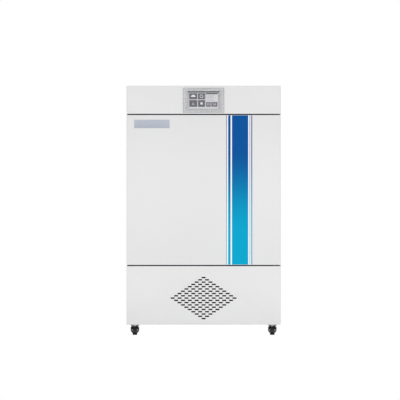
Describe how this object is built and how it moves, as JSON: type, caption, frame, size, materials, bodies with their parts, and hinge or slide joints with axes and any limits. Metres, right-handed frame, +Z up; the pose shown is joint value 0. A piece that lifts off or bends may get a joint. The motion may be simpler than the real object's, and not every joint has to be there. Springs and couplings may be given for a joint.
{
  "type": "carbon dioxide incubator",
  "caption": "Floor-standing carbon dioxide incubator: white cabinet on casters with a hinged insulated door, inner glass door, touch screen and slotted lower panel.",
  "frame": {"origin": "on the floor under the middle of the object's box", "axes": "+Z up; the door faces -Y; +X is to the right of a person who faces the door"},
  "size_m": [0.76, 0.6886, 1.23],
  "materials": {
    "white_paint": "fine-textured white powder coat",
    "door_plastic": "white vacuum-formed sheet",
    "grey_paint": "grey primed steel",
    "stainless": "brushed stainless sheet",
    "stainless_rod": "polished stainless",
    "zinc": "bright zinc plate",
    "black_enamel": "black enamel",
    "aluminium": "plain mill finish",
    "brass": "turned brass",
    "silver_plastic": "silver-grey moulded plastic",
    "badge": "satin anodised, pale blue-grey",
    "screen": "touch glass over a lit panel",
    "black_plastic": "black moulded plastic",
    "white_plastic": "white moulded plastic",
    "wheel_rubber": "black rubber",
    "gasket": "grey extruded gasket",
    "silicone": "translucent white silicone",
    "glass": "clear toughened glass",
    "insulation": "pale rigid foam"
  },
  "bodies": {
    "cabinet": {"outer_case": "white_paint", "rear_panel": "white_paint", "base_frame": "grey_paint", "machine_deck": "grey_paint", "insulation": "insulation", "control_fascia": "white_paint", "lower_front_panel": "white_paint", "display_bezel": "silver_plastic", "display_screen": "screen", "electrical_tray": "grey_paint", "power_supply": "aluminium", "door_surround": "white_paint", "chamber_liner": "stainless", "chamber_back": "stainless", "inner_seal": "silicone", "hinge_bracket_top": "zinc", "hinge_bracket_bottom": "zinc", "shelf_rack_left": "stainless", "shelf_rack_right": "stainless", "air_plenum": "stainless", "fan_motor": "black_enamel", "co2_sensor": "white_plastic", "co2_valve": "brass", "gas_tube": "silicone", "compressor": "black_enamel", "condenser": "aluminium", "condenser_fan_motor": "black_enamel", "power_inlet": "black_plastic", "caster_plate_front_left": "zinc", "caster_plate_front_right": "zinc", "caster_plate_rear_left": "zinc", "caster_plate_rear_right": "zinc"},
    "door": {"door_skin": "white_paint", "door_foam": "insulation", "door_liner": "door_plastic", "door_gasket": "gasket", "door_grip": "black_plastic", "badge_plate": "badge"},
    "glass_door": {"glass_pane": "glass", "glass_hinge_stile": "stainless_rod", "glass_knob": "black_plastic"},
    "shelf_1": {"shelf_1": "stainless"},
    "shelf_2": {"shelf_2": "stainless"},
    "shelf_3": {"shelf_3": "stainless"},
    "humidity_pan": {"humidity_pan": "stainless"},
    "circulation_fan": {"circulation_fan": "black_plastic"},
    "condenser_fan": {"condenser_fan": "black_plastic"},
    "power_switch": {"power_switch": "black_plastic"},
    "port_plug": {"port_plug": "silicone"},
    "swivel_front_left": {"caster_fork_front_left": "black_enamel"},
    "wheel_front_left": {"caster_wheel_front_left": "wheel_rubber"},
    "pedal_front_left": {"brake_pedal_front_left": "black_plastic"},
    "swivel_front_right": {"caster_fork_front_right": "black_enamel"},
    "wheel_front_right": {"caster_wheel_front_right": "wheel_rubber"},
    "pedal_front_right": {"brake_pedal_front_right": "black_plastic"},
    "swivel_rear_left": {"caster_fork_rear_left": "black_enamel"},
    "wheel_rear_left": {"caster_wheel_rear_left": "wheel_rubber"},
    "swivel_rear_right": {"caster_fork_rear_right": "black_enamel"},
    "wheel_rear_right": {"caster_wheel_rear_right": "wheel_rubber"}
  },
  "joints": [
    {"name": "door_hinge", "type": "hinge", "parent": "cabinet", "child": "door", "pos_m": [0.365, -0.3163, 0.7155], "axis": [0, 0, 1], "range_deg": [0, 100]},
    {"name": "glass_door_hinge", "type": "hinge", "parent": "cabinet", "child": "glass_door", "pos_m": [0.272, -0.2443, 0.7155], "axis": [0, 0, 1], "range_deg": [0, 100]},
    {"name": "shelf_1_slide", "type": "slide", "parent": "cabinet", "child": "shelf_1", "axis": [0, -1, 0], "range_m": [0, 0.034]},
    {"name": "shelf_2_slide", "type": "slide", "parent": "cabinet", "child": "shelf_2", "axis": [0, -1, 0], "range_m": [0, 0.034]},
    {"name": "shelf_3_slide", "type": "slide", "parent": "cabinet", "child": "shelf_3", "axis": [0, -1, 0], "range_m": [0, 0.034]},
    {"name": "pan_slide", "type": "slide", "parent": "cabinet", "child": "humidity_pan", "axis": [0, -1, 0], "range_m": [0, 0.05]},
    {"name": "port_plug_slide", "type": "slide", "parent": "cabinet", "child": "port_plug", "axis": [0, 1, 0], "range_m": [0, 0.06]},
    {"name": "circulation_fan_spin", "type": "hinge", "parent": "cabinet", "child": "circulation_fan", "pos_m": [0, 0.0193, 1.0405], "axis": [0, 0, 1], "continuous": true},
    {"name": "condenser_fan_spin", "type": "hinge", "parent": "cabinet", "child": "condenser_fan", "pos_m": [0, -0.2451, 0.1583], "axis": [0, -1, 0], "continuous": true},
    {"name": "power_switch_rock", "type": "hinge", "parent": "cabinet", "child": "power_switch", "pos_m": [0.27, 0.3266, 0.165], "axis": [-1, 0, 0], "range_deg": [0, 14]},
    {"name": "caster_swivel_front_left", "type": "hinge", "parent": "cabinet", "child": "swivel_front_left", "pos_m": [-0.339, -0.2883, 0.0375], "axis": [0, 0, 1], "continuous": true},
    {"name": "wheel_spin_front_left", "type": "hinge", "parent": "swivel_front_left", "child": "wheel_front_left", "pos_m": [-0.339, -0.3023, 0.018], "axis": [1, 0, 0], "continuous": true},
    {"name": "brake_pedal_tilt_front_left", "type": "hinge", "parent": "swivel_front_left", "child": "pedal_front_left", "pos_m": [-0.339, -0.3083, 0.0368], "axis": [1, 0, 0], "range_deg": [0, 12]},
    {"name": "caster_swivel_front_right", "type": "hinge", "parent": "cabinet", "child": "swivel_front_right", "pos_m": [0.339, -0.2883, 0.0375], "axis": [0, 0, 1], "continuous": true},
    {"name": "wheel_spin_front_right", "type": "hinge", "parent": "swivel_front_right", "child": "wheel_front_right", "pos_m": [0.339, -0.3023, 0.018], "axis": [1, 0, 0], "continuous": true},
    {"name": "brake_pedal_tilt_front_right", "type": "hinge", "parent": "swivel_front_right", "child": "pedal_front_right", "pos_m": [0.339, -0.3083, 0.0368], "axis": [1, 0, 0], "range_deg": [0, 12]},
    {"name": "caster_swivel_rear_left", "type": "hinge", "parent": "cabinet", "child": "swivel_rear_left", "pos_m": [-0.339, 0.2813, 0.0375], "axis": [0, 0, 1], "continuous": true},
    {"name": "wheel_spin_rear_left", "type": "hinge", "parent": "swivel_rear_left", "child": "wheel_rear_left", "pos_m": [-0.339, 0.2953, 0.018], "axis": [1, 0, 0], "continuous": true},
    {"name": "caster_swivel_rear_right", "type": "hinge", "parent": "cabinet", "child": "swivel_rear_right", "pos_m": [0.339, 0.2813, 0.0375], "axis": [0, 0, 1], "continuous": true},
    {"name": "wheel_spin_rear_right", "type": "hinge", "parent": "swivel_rear_right", "child": "wheel_rear_right", "pos_m": [0.339, 0.2953, 0.018], "axis": [1, 0, 0], "continuous": true}
  ],
  "couplings": [
    {"joint": "glass_door_hinge", "follows": "door_hinge", "ratio": 1}
  ]
}
